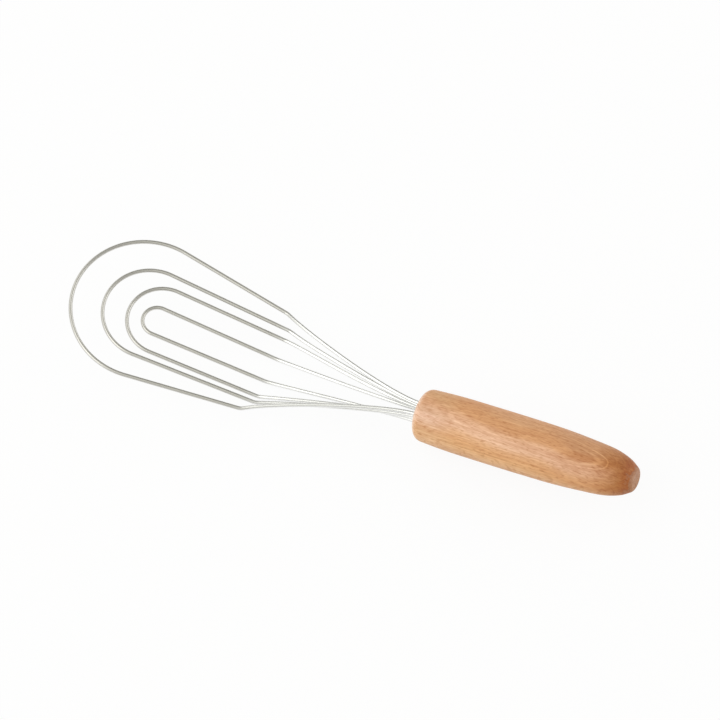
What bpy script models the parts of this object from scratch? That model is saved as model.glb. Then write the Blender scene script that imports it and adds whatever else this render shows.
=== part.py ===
# Flat whisk: four stainless wire loops, nested and stacked one above the other, with their
# eight tails potted in the bore of a turned beech handle. Metres, +Z up, +X towards the handle.
# It lies as on a table, on the inner loop's kinks and the rim of the handle's mouth,
# which leaves the front of the head raised.
from math import acos, asin, atan2, cos, hypot, pi, radians, sin

import bmesh
import bpy
from mathutils import Matrix, Vector

mm = 0.001
touching_gap = 0.3 * mm  # left between pieces that touch on the real tool

# Wire, and how the loops and their tails stack
wire_diameter = 1.9 * mm
loop_gap = 0.35 * mm  # clear height between one loop and the next
tail_web = 0.6 * mm  # resin between two tails of a column
tail_columns = 6.1 * mm  # between the middles of the two columns of tails
tail_stack_rise = 0.4 * mm  # the stack's middle above the handle's axis
tail_depth = 36.0 * mm  # length of each tail inside the bore
kink_trim = 1.6 * mm  # length of wire on each side of a kink that the bend takes up

# Loops from the top of the stack to the bottom, in the head's own plane: the arc's centre
# and radius, the kink's place along and across, and the neck that leaves it. The neck leaves
# the kink drawn in and rising by these slopes, then eases into the line of the handle.
loops = {
    "outer_loop": {
        "arc_centre": 0.0 * mm,
        "arc_radius": 36.0 * mm,
        "kink_along": 62.5 * mm,
        "kink_across": 27.7 * mm,
        "draw_in": 0.60,
        "rise": 0.38,
        "leave": 13.6 * mm,
        "ease": 18.1 * mm,
    },
    "second_loop": {
        "arc_centre": 2.8 * mm,
        "arc_radius": 23.1 * mm,
        "kink_along": 67.2 * mm,
        "kink_across": 20.8 * mm,
        "draw_in": 0.41,
        "rise": 0.19,
        "leave": 13.3 * mm,
        "ease": 11.3 * mm,
    },
    "third_loop": {
        "arc_centre": 9.5 * mm,
        "arc_radius": 17.4 * mm,
        "kink_along": 67.0 * mm,
        "kink_across": 16.3 * mm,
        "draw_in": 0.19,
        "rise": 0.37,
        "leave": 13.4 * mm,
        "ease": 22.2 * mm,
    },
    "inner_loop": {
        "arc_centre": 6.7 * mm,
        "arc_radius": 7.2 * mm,
        "kink_along": 66.6 * mm,
        "kink_across": 6.5 * mm,
        "draw_in": 0.045,
        "rise": 0.215,
        "leave": 13.5 * mm,
        "ease": 25.3 * mm,
    },
}

# Handle: the middle of its mouth in the outer loop's plane, and its slope up from that plane
mouth_along = 142.7 * mm
mouth_height = 16.4 * mm
handle_pitch = radians(14.3)
handle_length = 113.1 * mm
mouth_rounding = 4.7 * mm
butt_rounding = 1.5 * mm
# Radius at stations along the handle, each a share of its length
mouth_radius = 12.6 * mm
grip_radius = 13.7 * mm
butt_radius = 5.6 * mm
handle_stations = (
    (0.00, mouth_radius),
    (0.15, mouth_radius + 0.84 * (grip_radius - mouth_radius)),
    (0.30, grip_radius),
    (0.50, grip_radius),
    (0.65, 0.980 * grip_radius),
    (0.78, 0.914 * grip_radius),
    (0.88, 0.829 * grip_radius),
    (0.95, butt_radius + 0.42 * (grip_radius - butt_radius)),
    (1.00, butt_radius),
)

# Resin plug that fills the bore around the tails
tail_hole_clearance = 0.15 * mm
plug_wall = 0.35 * mm  # least resin outside a tail
plug_recess = 1.0 * mm  # from the mouth to the resin's face
resin_past_tails = 2.0 * mm

# Facets
arc_steps = 18  # on each half of a loop
kink_steps = 4
neck_steps = 12
handle_sides = 40
handle_steps = 22
hole_sides = 12

wire_radius = wire_diameter / 2
loop_step = wire_diameter + loop_gap
tail_pitch = wire_diameter + tail_web
top_tail = (len(loops) - 1) / 2 * tail_pitch
tail_hole_radius = wire_radius + tail_hole_clearance
tail_reach = hypot(tail_columns / 2, top_tail + abs(tail_stack_rise))
plug_radius = tail_reach + tail_hole_radius + plug_wall
plug_end = tail_depth + resin_past_tails
bore_radius = plug_radius + touching_gap
bore_depth = plug_end + touching_gap

handle_line = Vector((cos(handle_pitch), 0.0, sin(handle_pitch)))
handle_up = Vector((-sin(handle_pitch), 0.0, cos(handle_pitch)))
mouth_middle = Vector((mouth_along, 0.0, mouth_height))


def remove_everything():
    for thing in list(bpy.data.objects):
        bpy.data.objects.remove(thing)


def make_material(name, colour, roughness, metallic):
    material = bpy.data.materials.new(name)
    material.use_nodes = True
    shader = material.node_tree.nodes["Principled BSDF"]
    shader.inputs["Base Color"].default_value = (*colour, 1.0)
    shader.inputs["Roughness"].default_value = roughness
    shader.inputs["Metallic"].default_value = metallic
    return material


def add_object(name, data, material, parent):
    thing = bpy.data.objects.new(name, data)
    bpy.context.scene.collection.objects.link(thing)
    thing.parent = parent
    if material:
        data.materials.append(material)
    return thing


def tail_place(level, depth):
    # Middle of a left-hand tail, at a depth past the handle's mouth.
    height = tail_stack_rise + top_tail - level * tail_pitch
    return mouth_middle + depth * handle_line + height * handle_up + Vector((0.0, tail_columns / 2, 0.0))


def quadratic(start, corner, end, share):
    return (1 - share) ** 2 * start + 2 * share * (1 - share) * corner + share**2 * end


def cubic(start, leaving, arriving, end, share):
    rest = 1 - share
    return rest**3 * start + 3 * rest**2 * share * leaving + 3 * rest * share**2 * arriving + share**3 * end


def half_loop(loop, level):
    # Centre line of the left half, from the front of the arc to the end of its tail.
    height = -level * loop_step
    centre = Vector((loop["arc_centre"], 0.0, height))
    kink = Vector((loop["kink_along"], loop["kink_across"], height))
    reach = kink - centre
    tangent = atan2(reach.y, reach.x) + acos(loop["arc_radius"] / reach.length)
    path = []
    for step in range(arc_steps + 1):
        angle = pi + (tangent - pi) * step / arc_steps
        path.append(centre + loop["arc_radius"] * Vector((cos(angle), sin(angle), 0.0)))
    before_kink = kink - kink_trim * (kink - path[-1]).normalized()
    neck_line = Vector((1.0, -loop["draw_in"], loop["rise"])).normalized()
    after_kink = kink + kink_trim * neck_line
    for step in range(kink_steps + 1):
        path.append(quadratic(before_kink, kink, after_kink, step / kink_steps))
    mouth = tail_place(level, 0.0)
    for step in range(1, neck_steps + 1):
        leaving = kink + loop["leave"] * neck_line
        arriving = mouth - loop["ease"] * handle_line
        path.append(cubic(kink, leaving, arriving, mouth, step / neck_steps))
    path.append(tail_place(level, tail_depth))
    return path


def whole_loop(half):
    mirrored = [Vector((point.x, -point.y, point.z)) for point in half[1:]]
    return list(reversed(half)) + mirrored


def add_wire(name, path, material, parent):
    curve = bpy.data.curves.new(name, "CURVE")
    curve.dimensions = "3D"
    curve.bevel_depth = wire_radius
    curve.bevel_resolution = 2
    curve.use_fill_caps = True
    spline = curve.splines.new("POLY")
    spline.points.add(len(path) - 1)
    for point, place in zip(spline.points, path):
        point.co = (*place, 1.0)
    return add_object(name, curve, material, parent)


def station_radius(along):
    # Radius at a share of the handle's length: a smooth curve through the stations.
    places = [place for place, radius in handle_stations]
    index = max(i for i in range(len(places) - 1) if places[i] <= along)
    start, start_radius = handle_stations[index]
    end, end_radius = handle_stations[index + 1]
    share = (along - start) / (end - start)
    start_slope = station_slope(index) * (end - start)
    end_slope = station_slope(index + 1) * (end - start)
    cube, square = share**3, share**2
    return (
        (2 * cube - 3 * square + 1) * start_radius
        + (cube - 2 * square + share) * start_slope
        + (3 * square - 2 * cube) * end_radius
        + (cube - square) * end_slope
    )


def station_slope(index):
    # The slope through a station, from its two neighbours.
    before = handle_stations[max(index - 1, 0)]
    after = handle_stations[min(index + 1, len(handle_stations) - 1)]
    return (after[1] - before[1]) / (after[0] - before[0])


def handle_profile():
    # From the middle of the bore's floor, out of the mouth, along the grip to the butt's middle.
    profile = [(bore_depth, 0.0), (bore_depth, bore_radius), (0.0, bore_radius)]
    grip_start = station_radius(mouth_rounding / handle_length)
    rounding_steps = 6
    for step in range(rounding_steps):
        turn = pi / 2 * step / rounding_steps
        profile.append((mouth_rounding * (1 - cos(turn)), grip_start - mouth_rounding * (1 - sin(turn))))
    butt_start = handle_length - butt_rounding
    for step in range(handle_steps + 1):
        # Steps close up towards the butt, where the outline turns fastest.
        share = sin(pi / 2 * step / handle_steps)
        along = mouth_rounding + (butt_start - mouth_rounding) * share
        profile.append((along, station_radius(along / handle_length)))
    start = Vector((butt_start, profile[-1][1], 0.0))
    corner = Vector((handle_length, butt_radius, 0.0))
    end = Vector((handle_length, butt_radius - butt_rounding, 0.0))
    for share in (0.25, 0.5, 0.75, 1.0):
        point = quadratic(start, corner, end, share)
        profile.append((point.x, point.y))
    profile.append((handle_length, 0.0))
    return profile


def turned_mesh(name, profile, sides):
    # Turns a profile of distances along and radii about the X axis.
    shape = bmesh.new()
    points = [shape.verts.new((along, 0.0, radius)) for along, radius in profile]
    edges = [shape.edges.new(pair) for pair in zip(points, points[1:])]
    bmesh.ops.spin(
        shape,
        geom=points + edges,
        axis=(1.0, 0.0, 0.0),
        cent=(0.0, 0.0, 0.0),
        angle=2 * pi,
        steps=sides,
        use_merge=True,
        use_duplicate=False,
    )
    bmesh.ops.remove_doubles(shape, verts=shape.verts, dist=0.01 * mm)
    bmesh.ops.recalc_face_normals(shape, faces=shape.faces)
    mesh = bpy.data.meshes.new(name)
    shape.to_mesh(mesh)
    shape.free()
    mesh.shade_smooth()
    mesh.set_sharp_from_angle(angle=radians(40))
    return mesh


def add_tail_holes(parent):
    # A cutter of one blind hole for each tail, open at the resin's face.
    shape = bmesh.new()
    start = plug_recess - touching_gap
    end = tail_depth + touching_gap
    for side in (-1, 1):
        for level in range(len(loops)):
            height = tail_stack_rise + top_tail - level * tail_pitch
            place = Vector(((start + end) / 2, side * tail_columns / 2, height))
            bmesh.ops.create_cone(
                shape,
                cap_ends=True,
                segments=hole_sides,
                radius1=tail_hole_radius,
                radius2=tail_hole_radius,
                depth=end - start,
                matrix=Matrix.Translation(place) @ Matrix.Rotation(pi / 2, 4, "Y"),
            )
    mesh = bpy.data.meshes.new("tail_holes")
    shape.to_mesh(mesh)
    shape.free()
    cutter = add_object("tail_holes", mesh, None, parent)
    cutter.hide_render = True
    cutter.display_type = "WIRE"
    return cutter


def rest_tilt():
    # Slope of the table under the inner loop's kinks and the rounded rim of the mouth.
    bottom = loops["inner_loop"]
    kink = Vector((bottom["kink_along"], 0.0, -(len(loops) - 1) * loop_step))
    rim_radius = station_radius(mouth_rounding / handle_length) - mouth_rounding
    rim = mouth_middle + mouth_rounding * handle_line - rim_radius * handle_up
    apart = rim - kink
    return atan2(apart.z, apart.x) - asin((mouth_rounding - wire_radius) / apart.length)


def seat_on_origin(frame):
    # Brings the middle of the underside of the whole tool's box to the origin.
    bpy.context.view_layer.update()
    graph = bpy.context.evaluated_depsgraph_get()
    points = []
    for thing in bpy.context.scene.objects:
        if thing.type in {"MESH", "CURVE"} and not thing.hide_render:
            seen = thing.evaluated_get(graph)
            points += [seen.matrix_world @ vertex.co for vertex in seen.to_mesh().vertices]
            seen.to_mesh_clear()
    low = [min(point[axis] for point in points) for axis in range(3)]
    high = [max(point[axis] for point in points) for axis in range(3)]
    frame.location -= Vector(((low[0] + high[0]) / 2, (low[1] + high[1]) / 2, low[2]))


def build_whisk():
    remove_everything()
    steel = make_material("drawn_stainless_wire", (0.60, 0.58, 0.54), 0.25, 1.0)
    beech = make_material("turned_beech", (0.62, 0.36, 0.17), 0.45, 0.0)
    resin = make_material("cast_resin", (0.55, 0.45, 0.30), 0.30, 0.0)

    head_plane = add_object("head_plane", None, None, None)
    head_plane.rotation_euler.y = rest_tilt()
    handle_axis = add_object("handle_axis", None, None, head_plane)
    handle_axis.location = mouth_middle
    handle_axis.rotation_euler.y = -handle_pitch

    for level, (name, loop) in enumerate(loops.items()):
        add_wire(name, whole_loop(half_loop(loop, level)), steel, head_plane)

    add_object("handle", turned_mesh("handle", handle_profile(), handle_sides), beech, handle_axis)
    plug_profile = [(plug_recess, 0.0), (plug_recess, plug_radius), (plug_end, plug_radius), (plug_end, 0.0)]
    plug = add_object("potting_plug", turned_mesh("potting_plug", plug_profile, handle_sides), resin, handle_axis)
    holes = plug.modifiers.new("tail_holes", "BOOLEAN")
    holes.operation = "DIFFERENCE"
    holes.object = add_tail_holes(handle_axis)

    seat_on_origin(head_plane)


build_whisk()
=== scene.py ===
from math import acos, atan2, cos, pi, radians, sin

import bmesh
import bpy
from mathutils import Matrix, Vector


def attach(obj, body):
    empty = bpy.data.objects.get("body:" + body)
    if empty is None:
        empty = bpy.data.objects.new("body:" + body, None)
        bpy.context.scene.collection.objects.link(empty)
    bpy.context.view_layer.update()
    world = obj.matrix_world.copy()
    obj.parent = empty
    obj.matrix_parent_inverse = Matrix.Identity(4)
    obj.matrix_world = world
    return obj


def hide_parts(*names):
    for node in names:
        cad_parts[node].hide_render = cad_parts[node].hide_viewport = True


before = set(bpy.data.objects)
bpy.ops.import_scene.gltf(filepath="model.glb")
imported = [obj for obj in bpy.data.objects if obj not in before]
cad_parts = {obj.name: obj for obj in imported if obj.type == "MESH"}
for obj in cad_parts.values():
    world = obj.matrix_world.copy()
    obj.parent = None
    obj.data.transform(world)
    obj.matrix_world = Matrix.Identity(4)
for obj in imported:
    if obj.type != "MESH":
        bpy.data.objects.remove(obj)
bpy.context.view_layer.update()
print("frame loaded:", ", ".join(sorted(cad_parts)))

mm = 0.001

# Where the head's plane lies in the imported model, with the front of the head raised
headPlace = Matrix.Translation((-0.10999062, 0.0, 0.01763016)) @ Matrix.Rotation(radians(8.66163), 4, "Y")


# Helpers for colours, nodes, materials and objects

def fromHex(code):
    # The linear colour, with alpha, of an sRGB hex code such as "#C8A27C".
    shares = [int(code[i:i + 2], 16) / 255 for i in (1, 3, 5)]
    return (*[s / 12.92 if s <= 0.04045 else ((s + 0.055) / 1.055) ** 2.4 for s in shares], 1.0)


def addNode(tree, kind, settings=None, sockets=None):
    # Adds a node, sets its properties, then sets or links its inputs by name or number.
    node = tree.nodes.new(kind)
    for name, value in (settings or {}).items():
        setattr(node, name, value)
    for name, value in (sockets or {}).items():
        if isinstance(value, bpy.types.NodeSocket):
            tree.links.new(value, node.inputs[name])
        else:
            node.inputs[name].default_value = value
    return node


def setStops(ramp, stops):
    # Gives a colour ramp its stops, each a place from 0 to 1 and a hex code.
    elements = ramp.color_ramp.elements
    elements.remove(elements[1])
    for index, (place, code) in enumerate(stops):
        element = elements.new(place) if index else elements[0]
        element.position = place
        element.color = fromHex(code)


def newMaterial(name):
    # A material and its tree, with no nodes yet.
    material = bpy.data.materials.new(name)
    material.use_nodes = True
    material.node_tree.nodes.clear()
    return material, material.node_tree


def shadedMaterial(name):
    # A material, its tree and its Principled shader, already linked to the output.
    material, tree = newMaterial(name)
    shader = addNode(tree, "ShaderNodeBsdfPrincipled")
    addNode(tree, "ShaderNodeOutputMaterial", sockets={"Surface": shader.outputs["BSDF"]})
    return material, tree, shader


def meshOf(name, shape):
    # Makes a mesh of a bmesh, and frees it.
    mesh = bpy.data.meshes.new(name)
    shape.to_mesh(mesh)
    shape.free()
    return mesh


def addObject(name, data):
    # Puts a mesh, curve, light or camera in the scene.
    added = bpy.data.objects.new(name, data)
    bpy.context.scene.collection.objects.link(added)
    return added


def addPiece(name, mesh, material, node):
    # Puts a finished mesh in the scene in place of its CAD node.
    mesh.materials.clear()
    mesh.materials.append(material)
    piece = addObject(name, mesh)
    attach(piece, "root")
    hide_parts(node)
    print(name, len(mesh.polygons), "faces")


# Camera: a long lens looking down along the whisk, turned until the handle runs as in the photograph

photoView = {
    "aim": (-0.004012, 0.014398, 0.015129),
    "distance": 5.3830,
    "azimuth": 30.9559,  # degrees, from looking along +Y
    "elevation": 61.5459,
    "roll": -8.0928,
    "lens": 563.70,
}


def setCamera():
    data = bpy.data.cameras.new("photo_view")
    data.lens = photoView["lens"]
    camera = addObject("photo_view", data)
    turn = (
        Matrix.Rotation(radians(photoView["azimuth"]), 4, "Z")
        @ Matrix.Rotation(radians(90 - photoView["elevation"]), 4, "X")
        @ Matrix.Rotation(radians(photoView["roll"]), 4, "Z")
    )
    backOff = Matrix.Translation((0.0, 0.0, photoView["distance"]))
    camera.matrix_world = Matrix.Translation(photoView["aim"]) @ turn @ backOff
    bpy.context.scene.camera = camera
    bpy.context.scene.view_settings.view_transform = "Standard"


setCamera()
print("camera set")


# Studio: a white table, three softboxes, and cards overhead and low at the sides, for the metal to mirror

studio = {
    "fill": 1.38,  # the room's light on matt surfaces
    "floorSize": 8.0,
    "floorColour": "#F2F2F1",
    "floorWhite": 0.92,  # how far the floor's shadows are washed out, as on a lit table
    "cardRadius": 2.4,  # every card is bent to this, about the table's middle
    "cardSteps": 24,
    # Tones of the cards, from the head's side through the top to the handle's side
    "cardTones": (
        (0.00, "#F4F4EF"),
        (0.10, "#F8F8F3"),
        (0.20, "#F2F2EC"),
        (0.30, "#ECECE6"),
        (0.40, "#DCDCD6"),
        (0.50, "#D2D2CC"),
        (0.60, "#D2D2CC"),
        (0.70, "#C9C9C3"),
        (0.80, "#BABAB5"),
        (0.90, "#A4A49F"),
        (1.00, "#BEBEB9"),
    ),
}
# Brighter and darker areas on the cards, with soft edges: middle, inner and outer radius, and brightness
cardAreas = (
    ((0.24, -1.08, 2.13), 0.4, 1.8, 1.45),  # lit by the near window
    ((-0.1, 0.60, 2.35), 0.2, 0.9, 0.62),  # the gap between the softboxes
    ((-0.95, 2.40, 2.25), 0.6, 1.7, 0.12),  # the room's far corner
    ((-1.6, 11.0, 1.60), 4.0, 7.5, 0.30),  # and the dim room past it
    ((-0.5, 2.40, 0.30), 0.6, 1.5, 0.35),  # the far side, low down
    ((0.3, -2.40, 0.30), 0.8, 2.2, 0.60),  # the near side, low down
)
# Where each card starts and ends, in degrees up and over from the handle's side, how far it is then turned
# about the upright, its length, and whether it also lights matt surfaces
cards = {
    "grey_card": (8.0, 112.0, 0.0, 22.0, True),
    "far_card": (112.0, 172.0, 0.0, 22.0, False),
    "near_skirting": (0.5, 14.0, -90.0, 3.6, False),
    "far_skirting": (0.5, 14.0, 98.0, 2.6, False),
}
# Place, width, height and brightness of each softbox, which faces the table's middle
softboxes = {
    "head_softbox": ((-0.86, -1.01, 0.90), 0.84, 1.76, 0.98),
    "overhead_softbox": ((-0.90, 0.10, 1.36), 1.45, 0.42, 0.90),
    "back_softbox": ((1.14, 1.15, 0.95), 1.75, 1.2, 1.30),
}


def whereShown(tree):
    # 1 for what the camera sees directly, in metal or through glass, 0 for light on matt surfaces.
    path = addNode(tree, "ShaderNodeLightPath")
    seen = addNode(
        tree, "ShaderNodeMath", {"operation": "MAXIMUM"},
        {0: path.outputs["Is Camera Ray"], 1: path.outputs["Is Glossy Ray"]},
    )
    return addNode(
        tree, "ShaderNodeMath", {"operation": "MAXIMUM"},
        {0: seen.outputs[0], 1: path.outputs["Is Transmission Ray"]},
    ).outputs[0]


def lightRoom():
    world = bpy.data.worlds.new("white_room")
    bpy.context.scene.world = world
    world.use_nodes = True
    tree = world.node_tree
    tree.nodes.clear()
    strength = addNode(
        tree, "ShaderNodeMapRange",
        sockets={"Value": whereShown(tree), "To Min": studio["fill"], "To Max": 1.0},
    )
    light = addNode(tree, "ShaderNodeBackground", sockets={"Strength": strength.outputs["Result"]})
    addNode(tree, "ShaderNodeOutputWorld", sockets={"Surface": light.outputs["Background"]})


def layTable():
    shape = bmesh.new()
    bmesh.ops.create_grid(shape, x_segments=1, y_segments=1, size=studio["floorSize"] / 2)
    table = addObject("white_table", meshOf("white_table", shape))
    material, tree = newMaterial("white_table")
    matt = addNode(tree, "ShaderNodeBsdfDiffuse", sockets={"Color": fromHex(studio["floorColour"])})
    white = addNode(tree, "ShaderNodeEmission", sockets={"Strength": 1.0})
    share = addNode(
        tree, "ShaderNodeMath", {"operation": "MULTIPLY"}, {0: whereShown(tree), 1: studio["floorWhite"]}
    )
    mixed = addNode(
        tree, "ShaderNodeMixShader",
        sockets={"Fac": share.outputs[0], 1: matt.outputs["BSDF"], 2: white.outputs["Emission"]},
    )
    addNode(tree, "ShaderNodeOutputMaterial", sockets={"Surface": mixed.outputs["Shader"]})
    material.cycles.emission_sampling = "NONE"
    table.data.materials.append(material)


def hangSoftbox(name):
    place, width, height, brightness = softboxes[name]
    light = bpy.data.lights.new(name, "AREA")
    light.shape = "RECTANGLE"
    light.size = width
    light.size_y = height
    light.energy = brightness * pi * width * height  # watts
    softbox = addObject(name, light)
    facing = Vector(place).to_track_quat("Z", "Y").to_matrix().to_4x4()
    softbox.matrix_world = Matrix.Translation(place) @ facing
    softbox.visible_camera = False


def paintCard():
    # Glowing card whose tone changes along the arch, with brighter and darker areas.
    material, tree = newMaterial("grey_card")
    place = addNode(tree, "ShaderNodeTexCoord").outputs["Object"]
    parts = addNode(tree, "ShaderNodeSeparateXYZ", sockets={"Vector": place})
    radius = studio["cardRadius"]
    share = addNode(
        tree, "ShaderNodeMapRange",
        sockets={"Value": parts.outputs["X"], "From Min": -radius, "From Max": radius},
    )
    tones = addNode(tree, "ShaderNodeValToRGB", sockets={"Fac": share.outputs["Result"]})
    setStops(tones, studio["cardTones"])
    bright = 1.0
    for middle, inner, outer, strength in cardAreas:
        away = addNode(tree, "ShaderNodeVectorMath", {"operation": "DISTANCE"}, {0: place, 1: middle})
        area = addNode(
            tree, "ShaderNodeMapRange", {"interpolation_type": "SMOOTHSTEP"},
            {
                "Value": away.outputs["Value"], "From Min": inner, "From Max": outer,
                "To Min": strength, "To Max": 1.0,
            },
        )
        bright = addNode(
            tree, "ShaderNodeMath", {"operation": "MULTIPLY"}, {0: bright, 1: area.outputs["Result"]}
        ).outputs[0]
    glow = addNode(tree, "ShaderNodeEmission", sockets={"Color": tones.outputs["Color"], "Strength": bright})
    addNode(tree, "ShaderNodeOutputMaterial", sockets={"Surface": glow.outputs["Emission"]})
    material.cycles.emission_sampling = "NONE"
    return material


def hangCard(name, material):
    # A card bent about the table's middle: part of the arch overhead, or a low strip at one side.
    low, high, turned, length, lightsMatt = cards[name]
    shape = bmesh.new()
    radius, half = studio["cardRadius"], length / 2
    corner = Vector((radius * cos(radians(low)), 0.0, radius * sin(radians(low))))
    ends = [shape.verts.new(corner + Vector((0.0, y, 0.0))) for y in (-half, half)]
    edge = shape.edges.new(ends)
    bmesh.ops.spin(
        shape, geom=ends + [edge], axis=(0.0, -1.0, 0.0), cent=(0.0, 0.0, 0.0),
        angle=radians(high - low), steps=studio["cardSteps"], use_merge=False, use_duplicate=False,
    )
    turn = Matrix.Rotation(radians(turned), 3, "Z")
    bmesh.ops.rotate(shape, verts=shape.verts, cent=(0.0, 0.0, 0.0), matrix=turn)
    mesh = meshOf(name, shape)
    mesh.shade_smooth()
    mesh.materials.append(material)
    card = addObject(name, mesh)
    card.visible_camera = False
    card.visible_diffuse = lightsMatt
    card.visible_shadow = lightsMatt


lightRoom()
layTable()
for name in softboxes:
    hangSoftbox(name)
greyCard = paintCard()
for name in cards:
    hangCard(name, greyCard)
print("studio lit")


# Wire loops

wireShape = {
    "radius": 0.95 * mm,
    "loopStep": 2.25 * mm,  # between the middles of one loop and the next
    "tailPitch": 2.5 * mm,  # from each tail to the next one down, in two columns of four
    "tailColumns": 6.1 * mm,  # between the middles of the columns
    "tailRise": 0.4 * mm,  # of the columns' middle over the handle's axis
    "tailDepth": 36.0 * mm,  # past the handle's mouth
    "kinkTrim": 1.6 * mm,  # how far from its corner the kink's bend starts and ends
    "sides": 20,
    "arcSteps": 160,
    "kinkSteps": 16,
    "neckSteps": 90,
}
# From the top loop down, in millimetres: middle and radius of the arc, place of the kink along
# and across, how the neck leaves it, drawn in and rising, and the reach of its two curves.
loopShapes = {
    "outer_loop": (0.0, 36.0, 62.5, 27.7, 0.60, 0.38, 13.6, 18.1),
    "second_loop": (2.8, 23.1, 67.2, 20.8, 0.41, 0.19, 13.3, 11.3),
    "third_loop": (9.5, 17.4, 67.0, 16.3, 0.19, 0.37, 13.4, 22.2),
    "inner_loop": (6.7, 7.2, 66.6, 6.5, 0.045, 0.215, 13.5, 25.3),
}
# In the head's plane: the middle of the handle's mouth, and the handle's slope
mouthMiddle = Vector((142.7, 0.0, 16.4)) * mm
handleSlope = radians(14.3)
handleLine = Vector((cos(handleSlope), 0.0, sin(handleSlope)))
handleUp = Vector((-sin(handleSlope), 0.0, cos(handleSlope)))
handlePlace = headPlace @ Matrix.Translation(mouthMiddle) @ Matrix.Rotation(-handleSlope, 4, "Y")

# Stainless wire, drawn through a die and tumbled bright: a warm grey metal with a soft shine that is a
# little uneven along it, and faint lines that run lengthwise. Lengths in millimetres; real draw lines are
# about 0.02 mm wide, drawn ten times as coarse so that they show.
stainless = {
    # The necks' light tone and the head's darker one are painted light: a painted reflection on the necks and
    # painted shade on the head
    "neck": "#EFEFED",
    "head": "#D2D0CA",  # darker than the necks: painted shade, for the dimmer reflections on the head
    "headEnd": (-0.054, -0.040),  # metres along the whisk, about the kinks
    "neckRoughness": 0.25,
    "headRoughness": 0.28,
    "dulled": 0.08,  # how much darker and rougher the dull patches are
    "dullLength": 14.0,
    "dullRound": 0.7,  # how fast they change round the wire
    "dullDetail": 3.0,
    "dullRange": (0.55, 0.95),  # noise at which a patch starts, and at which it is full
    "lineShare": 0.5,  # how far the draw lines add to that noise
    "lineLength": 22.0,
    "lineWidth": 0.2,
    "lineDetail": 2.0,
    "lineDepth": 0.0006 * mm,
}


def makeStainless():
    look = stainless
    material, tree, shader = shadedMaterial("drawn_stainless_wire")
    shader.inputs["Metallic"].default_value = 1.0

    # The wire's own UV map holds millimetres along it and turns round it; rolled up, it has no seam
    unrolled = addNode(tree, "ShaderNodeUVMap", {"uv_map": "UVMap"})
    place = addNode(tree, "ShaderNodeSeparateXYZ", sockets={"Vector": unrolled.outputs["UV"]})
    turn = addNode(tree, "ShaderNodeMath", {"operation": "MULTIPLY"}, {0: place.outputs["Y"], 1: 2 * pi})
    sideways = addNode(tree, "ShaderNodeMath", {"operation": "COSINE"}, {0: turn.outputs[0]})
    upwards = addNode(tree, "ShaderNodeMath", {"operation": "SINE"}, {0: turn.outputs[0]})
    rolled = addNode(
        tree, "ShaderNodeCombineXYZ",
        sockets={"X": place.outputs["X"], "Y": sideways.outputs[0], "Z": upwards.outputs[0]},
    ).outputs["Vector"]

    # Draw lines, then patches where the shine is duller
    radius = wireShape["radius"] / mm
    stretched = addNode(
        tree, "ShaderNodeMapping",
        sockets={
            "Vector": rolled,
            "Scale": (1 / look["lineLength"], radius / look["lineWidth"], radius / look["lineWidth"]),
        },
    )
    line = addNode(
        tree, "ShaderNodeTexNoise",
        sockets={"Vector": stretched.outputs["Vector"], "Scale": 1.0, "Detail": look["lineDetail"]},
    ).outputs["Fac"]
    stretched = addNode(
        tree, "ShaderNodeMapping",
        sockets={"Vector": rolled, "Scale": (1 / look["dullLength"], look["dullRound"], look["dullRound"])},
    )
    patch = addNode(
        tree, "ShaderNodeTexNoise",
        sockets={"Vector": stretched.outputs["Vector"], "Scale": 1.0, "Detail": look["dullDetail"]},
    ).outputs["Fac"]
    both = addNode(
        tree, "ShaderNodeMath", {"operation": "MULTIPLY_ADD"}, {0: line, 1: look["lineShare"], 2: patch}
    )
    start, full = look["dullRange"]
    dull = addNode(
        tree, "ShaderNodeMapRange", {"interpolation_type": "SMOOTHSTEP"},
        {"Value": both.outputs[0], "From Min": start, "From Max": full, "To Max": look["dulled"]},
    ).outputs["Result"]

    # The head's darker tone, painted shade in its reflections, and its slightly rougher shine give way to the
    # necks' lighter tone, a painted reflection, about the kinks
    point = addNode(tree, "ShaderNodeTexCoord")
    along = addNode(tree, "ShaderNodeSeparateXYZ", sockets={"Vector": point.outputs["Object"]}).outputs["X"]
    start, end = look["headEnd"]
    neck = addNode(
        tree, "ShaderNodeMapRange", {"interpolation_type": "SMOOTHSTEP"},
        {"Value": along, "From Min": start, "From Max": end},
    ).outputs["Result"]
    tone = addNode(
        tree, "ShaderNodeMix", {"data_type": "RGBA"},
        {"Factor": neck, 6: fromHex(look["head"]), 7: fromHex(look["neck"])},
    )
    tone = addNode(
        tree, "ShaderNodeMix", {"data_type": "RGBA"},
        {"Factor": dull, 6: tone.outputs[2], 7: (0.0, 0.0, 0.0, 1.0)},
    )
    tree.links.new(tone.outputs[2], shader.inputs["Base Color"])
    shine = addNode(
        tree, "ShaderNodeMapRange",
        sockets={"Value": neck, "To Min": look["headRoughness"], "To Max": look["neckRoughness"]},
    )
    shine = addNode(tree, "ShaderNodeMath", sockets={0: shine.outputs["Result"], 1: dull})
    tree.links.new(shine.outputs[0], shader.inputs["Roughness"])
    relief = addNode(
        tree, "ShaderNodeBump", sockets={"Strength": 1.0, "Distance": look["lineDepth"], "Height": line}
    )
    tree.links.new(relief.outputs["Normal"], shader.inputs["Normal"])
    return material


def tailPlace(level, depth):
    # Middle of a left-hand tail of a loop, at a depth past the handle's mouth.
    middleLevel = (len(loopShapes) - 1) / 2
    height = wireShape["tailRise"] + (middleLevel - level) * wireShape["tailPitch"]
    across = Vector((0.0, wireShape["tailColumns"] / 2, 0.0))
    return mouthMiddle + depth * handleLine + height * handleUp + across


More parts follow.
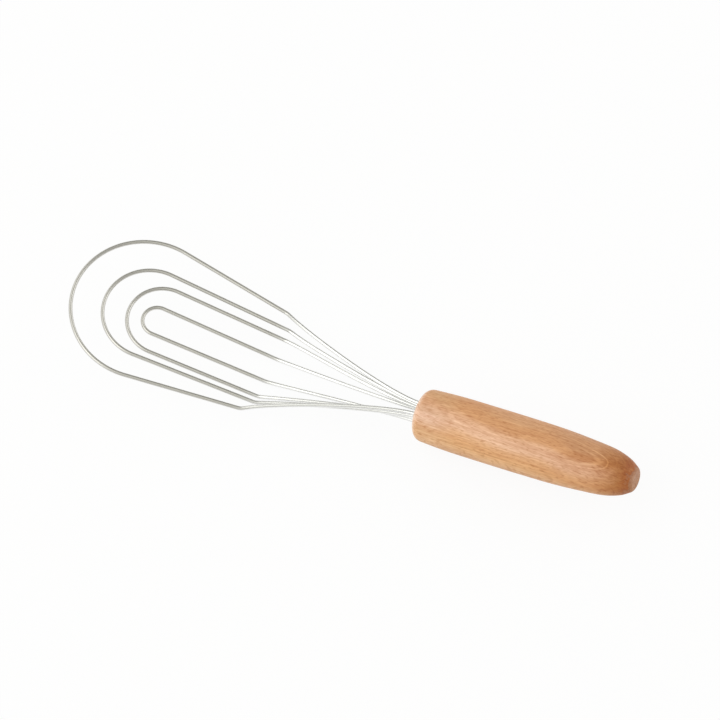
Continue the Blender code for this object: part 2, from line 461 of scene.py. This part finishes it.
def halfLoop(name, level):
    # Centre line of the left half, from the front of the arc to the end of its tail.
    arcMiddle, arcRadius, kinkAlong, kinkAcross, drawIn, rise, leave, ease = loopShapes[name]
    height = -level * wireShape["loopStep"]
    middle = Vector((arcMiddle * mm, 0.0, height))
    kink = Vector((kinkAlong * mm, kinkAcross * mm, height))
    reach = kink - middle
    tangent = atan2(reach.y, reach.x) + acos(arcRadius * mm / reach.length)
    path = []
    for step in range(wireShape["arcSteps"] + 1):
        angle = pi + (tangent - pi) * step / wireShape["arcSteps"]
        path.append(middle + arcRadius * mm * Vector((cos(angle), sin(angle), 0.0)))
    neckLine = Vector((1.0, -drawIn, rise)).normalized()
    before = kink - wireShape["kinkTrim"] * (kink - path[-1]).normalized()
    after = kink + wireShape["kinkTrim"] * neckLine
    for step in range(wireShape["kinkSteps"] + 1):
        t = step / wireShape["kinkSteps"]
        path.append((1 - t) ** 2 * before + 2 * t * (1 - t) * kink + t * t * after)
    mouth = tailPlace(level, 0.0)
    leaving = kink + leave * mm * neckLine
    arriving = mouth - ease * mm * handleLine
    for step in range(1, wireShape["neckSteps"] + 1):
        t = step / wireShape["neckSteps"]
        point = (
            (1 - t) ** 3 * kink + 3 * (1 - t) ** 2 * t * leaving
            + 3 * (1 - t) * t * t * arriving + t**3 * mouth
        )
        if (point - kink).length > wireShape["kinkTrim"]:
            path.append(point)
    path.append(tailPlace(level, wireShape["tailDepth"]))
    return path


def measureWire(mesh, path):
    # Turns the sweep's own UV map into millimetres along the wire, and leaves its turns round it.
    lengths = [0.0]
    for before, after in zip(path, path[1:]):
        lengths.append(lengths[-1] + (after - before).length / mm)
    for corner in mesh.uv_layers["UVMap"].data:
        corner.uv.x = lengths[round(corner.uv.x * (len(path) - 1))]


def bendLoop(name, level, material):
    # Sweeps the wire along the whole loop, then makes it a mesh in its place.
    half = halfLoop(name, level)
    path = list(reversed(half)) + [Vector((p.x, -p.y, p.z)) for p in half[1:]]
    curve = bpy.data.curves.new(name, "CURVE")
    curve.dimensions = "3D"
    curve.bevel_depth = wireShape["radius"]
    curve.bevel_resolution = (wireShape["sides"] - 4) // 2  # 0 gives four sides, and each step two more
    curve.use_fill_caps = True
    spline = curve.splines.new("POLY")
    spline.points.add(len(path) - 1)
    for point, place in zip(spline.points, path):
        point.co = (*place, 1.0)
    bent = addObject(name + "_path", curve)
    graph = bpy.context.evaluated_depsgraph_get()
    mesh = bpy.data.meshes.new_from_object(bent.evaluated_get(graph))
    bpy.data.objects.remove(bent)
    bpy.data.curves.remove(curve)
    mesh.name = name
    mesh.transform(headPlace)
    mesh.shade_smooth()
    measureWire(mesh, path)
    addPiece(name + "_wire", mesh, material, name)


steel = makeStainless()
for level, name in enumerate(loopShapes):
    bendLoop(name, level, steel)
print("loops bent")


# Handle

handleShape = {
    "length": 113.1 * mm,
    "mouthRadius": 12.6 * mm,
    "gripRadius": 13.7 * mm,
    "buttRadius": 5.6 * mm,
    "mouthRounding": 4.7 * mm,
    "buttRounding": 1.5 * mm,
    "boreRadius": 6.90 * mm,
    "boreDepth": 38.3 * mm,
    "rimRounding": 0.25 * mm,
    "sides": 128,
    "rimSteps": 4,
    "mouthSteps": 16,
    "gripSteps": 72,
    "buttSteps": 8,
}
mouthRadius, gripRadius, buttRadius = (
    handleShape[key] for key in ("mouthRadius", "gripRadius", "buttRadius")
)
# Radius at shares of the handle's length
handleStations = (
    (0.00, mouthRadius),
    (0.15, mouthRadius + 0.84 * (gripRadius - mouthRadius)),
    (0.30, gripRadius),
    (0.50, gripRadius),
    (0.65, 0.980 * gripRadius),
    (0.78, 0.914 * gripRadius),
    (0.88, 0.829 * gripRadius),
    (0.95, buttRadius + 0.42 * (gripRadius - buttRadius)),
    (1.00, buttRadius),
)


# Flat-sawn beech, turned, sanded and oiled: satin fine grain along the handle, short ray flecks on top,
# broader ones on the sides, and end grain at the butt that soaked up more oil and went darker.
# Lengths in millimetres; the finest fibres and flecks are drawn about twice as coarse, so that they show.
beechLook = {
    # Depth through the wood, towards the far upper side, and its tone there. The darker tones towards the far
    # upper side are partly the wood's own tone and partly painted shade, for the dimmer light on that side
    "tones": (
        (-14.0, "#CE9C71"),
        (-8.7, "#D5A376"),
        (-5.6, "#DFAE7E"),
        (-2.6, "#DDA875"),
        (0.0, "#DCA471"),
        (2.7, "#E2AE80"),
        (5.1, "#E7B793"),
        (7.7, "#DFAC87"),
        (9.4, "#E0AD85"),
        (10.8, "#D39A6A"),
        (12.4, "#D09767"),
        (14.0, "#CF9C71"),
    ),
    # The same near the mouth, where pinker, paler layers come out
    "mouthTones": (
        (-11.3, "#DCAD82"),
        (-5.1, "#E1B284"),
        (-2.6, "#D8A678"),
        (0.0, "#DDAA7F"),
        (2.4, "#E5B999"),
        (4.4, "#E8BB9D"),
        (6.2, "#D9AB89"),
        (7.8, "#DBAB87"),
        (9.0, "#D39E75"),
        (10.2, "#CF9E70"),
    ),
    "toneDepths": (-14.0, 14.0),  # least and greatest depth for both
    "mouthFade": (27.0, 9.0),  # where along the handle the one gives way to the other
    # From where to where along the handle the layers run off the axis, and how far
    "drifts": ((46.0, 10.0, -2.6), (66.0, 86.0, 2.6)),
    # Layers of tones, of growth rings and of the top arcs: degrees that they tilt from level towards the
    # far side, how much they climb along the handle, how far they wander, and length, width, depth and
    # detail of the noise that they wander by
    "toneLayers": (30.0, 0.0, 2.6, (30.0, 7.0, 7.0, 1.0)),
    "ringLayers": (-5.0, 0.0, 0.8, (22.0, 6.0, 6.0, 1.0)),
    "arcLayers": (-10.0, 0.03, 0.25, (6.0, 2.0, 2.0, 2.0)),
    # Growth rings: a fine pale line, then a darker edge that fades, as a share of their spacing
    "rings": (
        (0.00, "#9E9E9E"),
        (0.06, "#858585"),
        (0.14, "#B4B4B4"),
        (0.22, "#CECECE"),
        (0.55, "#BCBCBC"),
        (0.93, "#BCBCBC"),
        (1.00, "#9E9E9E"),
    ),
    "ringSpacing": 1.55,
    "ringStart": 11.55,
    "ringStrength": (0.48, 1.2),  # in patches where the rings are faint, and where they are clear
    "ringPatch": (26.0, 9.0, 9.0, 0.0),  # length, width, depth and detail of the patches
    "ringPatchRange": (0.38, 0.60),
    # Depth of the top layers, whose edges show as nested arcs where the butt's taper cuts them
    "arcs": (
        (13.70, "#BCBCBC"),
        (14.04, "#C2C2C2"),
        (14.11, "#707070"),
        (14.19, "#707070"),
        (14.26, "#C0C0C0"),
        (14.58, "#B8B8B8"),
        (14.70, "#909090"),
        (14.80, "#989898"),
        (14.90, "#D4D4D4"),
        (15.15, "#C4C4C4"),
        (15.32, "#DCDCDC"),
        (15.38, "#808080"),
        (15.70, "#808080"),
    ),
    "arcDepths": (13.7, 15.7),
    "arcStrength": (0.66, 2.2),  # over the grip, and over the butt's taper
    "arcFade": (80.0, 96.0),  # where along the handle they grow clearer
    "evenGrey": 0.5,  # the brightness at which rings and arcs leave the tone as it is
    # Length along the grain, width across it, finer detail and strength
    "fibres": (
        (34.0, 0.75, 2.0, 1.00),
        (8.0, 0.50, 1.0, 0.75),
        (2.6, 0.38, 0.0, 0.60),
        (5.0, 2.20, 2.0, 0.50),
    ),
    "fleck": (2.4, 0.45, 4.0, 0.0),  # length, width, depth and detail
    "fleckRange": (0.58, 0.72),
    "fleckShare": 0.1,  # of the surface
    "fleckStrength": 0.40,
    "contrast": 0.4,  # how far from the mean the darkest fibres lie
    "stain": "#D5B594",  # what a dark fibre multiplies its tone by
    # Share of end grain in the surface, and what the oil in it multiplies the tone by
    "soak": (
        (0.00, "#FFFFFF"),
        (0.05, "#F9F4F1"),
        (0.10, "#EFE3D8"),
        (0.20, "#E3CFB7"),
        (0.38, "#CDAE84"),
        (0.55, "#C29363"),
        (0.64, "#BFABA3"),
        (0.80, "#CAB9B1"),
        (0.97, "#D0C3BE"),
    ),
    "soakUneven": 0.9,
    "soakPatch": (7.0, 3.0, 3.0, 2.0),  # length, width, depth and detail
    "mouthPale": "#EBCDB6",
    "paleSlope": (-0.25, -0.95),  # share of end grain, minus towards the mouth, as it starts to pale and ends
    "paleShare": 0.8,
    "roughness": (0.42, 0.54),
    "specular": 0.35,
    "bump": 0.02 * mm,
}


def fibreNoise(tree, grain, length, width, depth, detail):
    # Noise stretched to a length along the grain, a width across it and a depth into it.
    stretched = addNode(
        tree, "ShaderNodeMapping", sockets={"Vector": grain, "Scale": (1 / length, 1 / width, 1 / depth)}
    )
    return addNode(
        tree, "ShaderNodeTexNoise",
        sockets={"Vector": stretched.outputs["Vector"], "Scale": 1.0, "Detail": detail},
    ).outputs["Fac"]


def layerDepth(tree, grain, layers):
    # Depth through tilted layers that wander from patch to patch.
    tilt, climb, wander, noise = layers
    straight = addNode(
        tree, "ShaderNodeVectorMath", {"operation": "DOT_PRODUCT"},
        {0: grain, 1: (climb, sin(radians(tilt)), cos(radians(tilt)))},
    )
    wandered = addNode(
        tree, "ShaderNodeMath", {"operation": "MULTIPLY_ADD"},
        {0: fibreNoise(tree, grain, *noise), 1: wander, 2: straight.outputs["Value"]},
    )
    return addNode(
        tree, "ShaderNodeMath", {"operation": "SUBTRACT"}, {0: wandered.outputs[0], 1: wander / 2}
    ).outputs[0]


def rampOf(tree, value, stops, low=0.0, high=1.0):
    # The colour of a value on stops that are given between low and high.
    share = addNode(
        tree, "ShaderNodeMapRange", sockets={"Value": value, "From Min": low, "From Max": high}
    )
    ramp = addNode(tree, "ShaderNodeValToRGB", sockets={"Fac": share.outputs["Result"]})
    setStops(ramp, [((place - low) / (high - low), code) for place, code in stops])
    return ramp.outputs["Color"]


def broadToneAndFarShade(tree, grain, along):
    # Broad tones, in layers that run off the axis near the mouth and near the butt; their darkening towards
    # the far upper side is partly painted shade.
    look = beechLook
    depth = layerDepth(tree, grain, look["toneLayers"])
    for start, end, drift in look["drifts"]:
        shift = addNode(
            tree, "ShaderNodeMapRange", {"interpolation_type": "SMOOTHSTEP"},
            {"Value": along, "From Min": start, "From Max": end, "To Max": drift},
        )
        depth = addNode(tree, "ShaderNodeMath", sockets={0: depth, 1: shift.outputs["Result"]}).outputs[0]
    start, end = look["mouthFade"]
    nearMouth = addNode(
        tree, "ShaderNodeMapRange", {"interpolation_type": "SMOOTHSTEP"},
        {"Value": along, "From Min": start, "From Max": end},
    ).outputs["Result"]
    tones = rampOf(tree, depth, look["tones"], *look["toneDepths"])
    mouthTones = rampOf(tree, depth, look["mouthTones"], *look["toneDepths"])
    return addNode(
        tree, "ShaderNodeMix", {"data_type": "RGBA"}, {"Factor": nearMouth, 6: tones, 7: mouthTones}
    ).outputs[2]


def layerEdges(tree, grain, along):
    # How dark the growth rings and the top layers' edges are, about nought.
    look = beechLook
    depth = layerDepth(tree, grain, look["ringLayers"])
    depth = addNode(tree, "ShaderNodeMath", {"operation": "SUBTRACT"}, {0: depth, 1: look["ringStart"]})
    ring = addNode(
        tree, "ShaderNodeMath", {"operation": "DIVIDE"}, {0: depth.outputs[0], 1: look["ringSpacing"]}
    )
    ring = addNode(tree, "ShaderNodeMath", {"operation": "FRACT"}, {0: ring.outputs[0]})
    ring = rampOf(tree, ring.outputs[0], look["rings"])
    low, high = look["ringPatchRange"]
    faint, full = look["ringStrength"]
    clear = addNode(
        tree, "ShaderNodeMapRange",
        sockets={
            "Value": fibreNoise(tree, grain, *look["ringPatch"]), "From Min": low, "From Max": high,
            "To Min": faint, "To Max": full,
        },
    ).outputs["Result"]
    dark = addNode(tree, "ShaderNodeMath", {"operation": "SUBTRACT"}, {0: ring, 1: look["evenGrey"]})
    dark = addNode(
        tree, "ShaderNodeMath", {"operation": "MULTIPLY"}, {0: dark.outputs[0], 1: clear}
    ).outputs[0]

    arc = rampOf(tree, layerDepth(tree, grain, look["arcLayers"]), look["arcs"], *look["arcDepths"])
    arc = addNode(tree, "ShaderNodeMath", {"operation": "SUBTRACT"}, {0: arc, 1: look["evenGrey"]})
    start, end = look["arcFade"]
    faint, full = look["arcStrength"]
    clear = addNode(
        tree, "ShaderNodeMapRange", {"interpolation_type": "SMOOTHSTEP"},
        {"Value": along, "From Min": start, "From Max": end, "To Min": faint, "To Max": full},
    ).outputs["Result"]
    return addNode(
        tree, "ShaderNodeMath", {"operation": "MULTIPLY_ADD"}, {0: arc.outputs[0], 1: clear, 2: dark}
    ).outputs[0]


def addFibres(tree, grain, dark):
    # Adds fibres, pores and blotches, then the flecks where a ray meets the surface, about nought.
    look = beechLook
    for length, width, detail, strength in look["fibres"]:
        noise = fibreNoise(tree, grain, length, width, width, detail)
        dark = addNode(
            tree, "ShaderNodeMath", {"operation": "MULTIPLY_ADD"}, {0: noise, 1: strength, 2: dark}
        ).outputs[0]
    low, high = look["fleckRange"]
    fleck = addNode(
        tree, "ShaderNodeMapRange", {"interpolation_type": "SMOOTHSTEP"},
        {
            "Value": fibreNoise(tree, grain, *look["fleck"]), "From Min": low, "From Max": high,
            "To Max": look["fleckStrength"],
        },
    ).outputs["Result"]
    dark = addNode(tree, "ShaderNodeMath", sockets={0: dark, 1: fleck}).outputs[0]
    middle = sum(row[3] for row in look["fibres"]) / 2 + look["fleckShare"] * look["fleckStrength"]
    return addNode(tree, "ShaderNodeMath", {"operation": "SUBTRACT"}, {0: dark, 1: middle}).outputs[0]


def endGrain(tree, grain):
    # The tone of the oil that the end grain took up towards the butt, and how pale it is round the mouth.
    look = beechLook
    surface = addNode(tree, "ShaderNodeNewGeometry")
    slope = addNode(
        tree, "ShaderNodeVectorMath", {"operation": "DOT_PRODUCT"},
        {0: surface.outputs["Normal"], 1: handlePlace.to_3x3() @ Vector((1.0, 0.0, 0.0))},
    ).outputs["Value"]
    uneven = addNode(
        tree, "ShaderNodeMapRange",
        sockets={
            "Value": fibreNoise(tree, grain, *look["soakPatch"]),
            "To Min": 1 - look["soakUneven"] / 2, "To Max": 1 + look["soakUneven"] / 2,
        },
    )
    soaked = addNode(
        tree, "ShaderNodeMath", {"operation": "MULTIPLY"}, {0: slope, 1: uneven.outputs["Result"]}
    )
    start, end = look["paleSlope"]
    pale = addNode(
        tree, "ShaderNodeMapRange", {"interpolation_type": "SMOOTHSTEP"},
        {"Value": slope, "From Min": start, "From Max": end, "To Max": look["paleShare"]},
    )
    return rampOf(tree, soaked.outputs[0], look["soak"]), pale.outputs["Result"]


def makeBeech():
    look = beechLook
    material, tree, shader = shadedMaterial("turned_oiled_beech")
    shader.inputs["Specular IOR Level"].default_value = look["specular"]

    # Millimetres along the handle from its mouth, across it and up
    point = addNode(tree, "ShaderNodeTexCoord")
    grain = addNode(
        tree, "ShaderNodeMapping", {"vector_type": "TEXTURE"},
        {
            "Vector": point.outputs["Object"], "Location": handlePlace.to_translation(),
            "Rotation": handlePlace.to_euler(), "Scale": (mm, mm, mm),
        },
    ).outputs["Vector"]
    along = addNode(tree, "ShaderNodeSeparateXYZ", sockets={"Vector": grain}).outputs["X"]

    dark = addFibres(tree, grain, layerEdges(tree, grain, along))
    stain = addNode(
        tree, "ShaderNodeMix", {"data_type": "RGBA", "clamp_factor": False},
        {"Factor": dark, 6: (1.0, 1.0, 1.0, 1.0), 7: fromHex(look["stain"])},
    ).outputs[2]
    soak, pale = endGrain(tree, grain)
    tone = addNode(
        tree, "ShaderNodeMix", {"data_type": "RGBA"},
        {"Factor": pale, 6: broadToneAndFarShade(tree, grain, along), 7: fromHex(look["mouthPale"])},
    ).outputs[2]
    for layer in (stain, soak):
        tone = addNode(
            tree, "ShaderNodeMix", {"data_type": "RGBA", "blend_type": "MULTIPLY"},
            {"Factor": 1.0, 6: tone, 7: layer},
        ).outputs[2]
    tree.links.new(tone, shader.inputs["Base Color"])

    # Dark fibres are a little lower and duller
    smooth, rough = look["roughness"]
    dull = addNode(
        tree, "ShaderNodeMapRange",
        sockets={
            "Value": dark, "From Min": -look["contrast"], "From Max": look["contrast"],
            "To Min": smooth, "To Max": rough,
        },
    )
    tree.links.new(dull.outputs["Result"], shader.inputs["Roughness"])
    relief = addNode(
        tree, "ShaderNodeBump", {"invert": True}, {"Strength": 1.0, "Distance": look["bump"], "Height": dark}
    )
    tree.links.new(relief.outputs["Normal"], shader.inputs["Normal"])
    return material


def stationSlope(index):
    # How the radius changes at a station, between its neighbours.
    before = handleStations[max(index - 1, 0)]
    after = handleStations[min(index + 1, len(handleStations) - 1)]
    return (after[1] - before[1]) / (after[0] - before[0])


def radiusAt(along):
    # Radius at a share of the handle's length, on a smooth curve through the stations.
    index = max(i for i in range(len(handleStations) - 1) if handleStations[i][0] <= along)
    (start, startRadius), (end, endRadius) = handleStations[index], handleStations[index + 1]
    t = (along - start) / (end - start)
    startSlope = stationSlope(index) * (end - start)
    endSlope = stationSlope(index + 1) * (end - start)
    return (
        (2 * t**3 - 3 * t**2 + 1) * startRadius + (t**3 - 2 * t**2 + t) * startSlope
        + (3 * t**2 - 2 * t**3) * endRadius + (t**3 - t**2) * endSlope
    )


def handleProfile():
    # Distances along and radii, from the bore's floor out of the mouth and along to the butt's middle.
    s = handleShape
    profile = [(s["boreDepth"], 0.0), (s["boreDepth"], s["boreRadius"])]
    for step in range(s["rimSteps"] + 1):
        turn = pi / 2 * step / s["rimSteps"]
        along = s["rimRounding"] * (1 - sin(turn))
        profile.append((along, s["boreRadius"] + s["rimRounding"] * (1 - cos(turn))))
    gripStart = radiusAt(s["mouthRounding"] / s["length"])
    for step in range(1, s["mouthSteps"]):
        turn = pi / 2 * step / s["mouthSteps"]
        rim = (s["mouthRounding"] * (1 - cos(turn)), gripStart - s["mouthRounding"] * (1 - sin(turn)))
        if rim[1] > profile[-1][1]:
            profile.append(rim)
    buttStart = s["length"] - s["buttRounding"]
    for step in range(s["gripSteps"] + 1):
        along = s["mouthRounding"] + (buttStart - s["mouthRounding"]) * sin(pi / 2 * step / s["gripSteps"])
        profile.append((along, radiusAt(along / s["length"])))
    startRadius = profile[-1][1]
    for step in range(1, s["buttSteps"] + 1):
        t = step / s["buttSteps"]
        along = (1 - t) ** 2 * buttStart + (2 * t * (1 - t) + t * t) * s["length"]
        radius = (1 - t) ** 2 * startRadius + 2 * t * (1 - t) * s["buttRadius"]
        profile.append((along, radius + t * t * (s["buttRadius"] - s["buttRounding"])))
    profile.append((s["length"], 0.0))
    return profile


weldDistance = 0.002 * mm  # points closer than this become one
sharpAngle = radians(40)  # edges that bend more than this stay sharp


def turnedMesh(name, profile, sides, place):
    # Turns a profile about the handle's axis and puts it in its place.
    shape = bmesh.new()
    points = [shape.verts.new((along, 0.0, radius)) for along, radius in profile]
    edges = [shape.edges.new(pair) for pair in zip(points, points[1:])]
    bmesh.ops.spin(
        shape, geom=points + edges, axis=(1.0, 0.0, 0.0), cent=(0.0, 0.0, 0.0),
        angle=2 * pi, steps=sides, use_merge=True, use_duplicate=False,
    )
    bmesh.ops.remove_doubles(shape, verts=shape.verts, dist=weldDistance)
    bmesh.ops.recalc_face_normals(shape, faces=shape.faces)
    bmesh.ops.transform(shape, matrix=place, verts=shape.verts)
    mesh = meshOf(name, shape)
    mesh.shade_smooth()
    mesh.set_sharp_from_angle(angle=sharpAngle)
    return mesh


beech = makeBeech()
addPiece(
    "turned_handle", turnedMesh("turned_handle", handleProfile(), handleShape["sides"], handlePlace),
    beech, "handle",
)
print("handle turned")


# Resin plug

plugShape = {
    "radius": 6.88 * mm,  # poured, so it meets the bore's wall
    "recess": 1.0 * mm,
    "creep": 0.55 * mm,  # how far it climbs the wall, and over what width
    "creepWidth": 1.5 * mm,
    "creepSteps": 8,
    "end": 38.0 * mm,
    "sides": 64,
}
# Epoxy, cast into the bore: an amber solid with a smooth, slightly cloudy face and a few fine bubbles
resinLook = {
    "clear": "#B9955F",
    "cloudy": "#D3BC93",
    "cloudSize": 3.0,  # millimetres
    "cloudDetail": 4.0,
    "cloudRoughness": 0.6,
    "cloudRange": (0.3, 0.7),  # noise at which the resin is clear, and cloudy
    "bubbleSpacing": 1.3,  # millimetres, as the next one
    "bubbleRadius": 0.22,
    "bubbleCore": 0.6,  # share of that radius with the bubble's full colour
    "bubble": "#E9DDC4",
    "roughness": (0.18, 0.34),
    "dimple": 0.03 * mm,
}


def makeResin():
    look = resinLook
    material, tree, shader = shadedMaterial("cast_epoxy_resin")
    point = addNode(tree, "ShaderNodeTexCoord").outputs["Object"]
    cloud = addNode(
        tree, "ShaderNodeTexNoise",
        sockets={
            "Vector": point, "Scale": 1 / (look["cloudSize"] * mm),
            "Detail": look["cloudDetail"], "Roughness": look["cloudRoughness"],
        },
    ).outputs["Fac"]
    low, high = look["cloudRange"]
    share = addNode(
        tree, "ShaderNodeMapRange", {"interpolation_type": "SMOOTHSTEP"},
        {"Value": cloud, "From Min": low, "From Max": high},
    ).outputs["Result"]
    tone = addNode(
        tree, "ShaderNodeMix", {"data_type": "RGBA"},
        {"Factor": share, 6: fromHex(look["clear"]), 7: fromHex(look["cloudy"])},
    ).outputs[2]
    nearest = addNode(
        tree, "ShaderNodeTexVoronoi",
        sockets={"Vector": point, "Scale": 1 / (look["bubbleSpacing"] * mm)},
    ).outputs["Distance"]
    edge = look["bubbleRadius"] / look["bubbleSpacing"]
    bubble = addNode(
        tree, "ShaderNodeMapRange", {"interpolation_type": "SMOOTHSTEP"},
        {"Value": nearest, "From Min": edge, "From Max": look["bubbleCore"] * edge},
    ).outputs["Result"]
    tone = addNode(
        tree, "ShaderNodeMix", {"data_type": "RGBA"},
        {"Factor": bubble, 6: tone, 7: fromHex(look["bubble"])},
    ).outputs[2]
    tree.links.new(tone, shader.inputs["Base Color"])
    shine = addNode(
        tree, "ShaderNodeMapRange",
        sockets={"Value": cloud, "To Min": look["roughness"][0], "To Max": look["roughness"][1]},
    )
    tree.links.new(shine.outputs["Result"], shader.inputs["Roughness"])
    relief = addNode(
        tree, "ShaderNodeBump", {"invert": True},
        {"Strength": 1.0, "Distance": look["dimple"], "Height": bubble},
    )
    tree.links.new(relief.outputs["Normal"], shader.inputs["Normal"])
    return material


def plugProfile():
    # The poured face is level in the middle and climbs the bore's wall a little.
    s = plugShape
    profile = [(s["recess"], 0.0)]
    for step in range(s["creepSteps"] + 1):
        share = step / s["creepSteps"]
        radius = s["radius"] - s["creepWidth"] * (1 - share)
        profile.append((s["recess"] - s["creep"] * share**3, radius))
    return profile + [(s["end"], s["radius"]), (s["end"], 0.0)]


resin = makeResin()
addPiece(
    "resin_plug", turnedMesh("resin_plug", plugProfile(), plugShape["sides"], handlePlace),
    resin, "potting_plug",
)
print("plug cast")
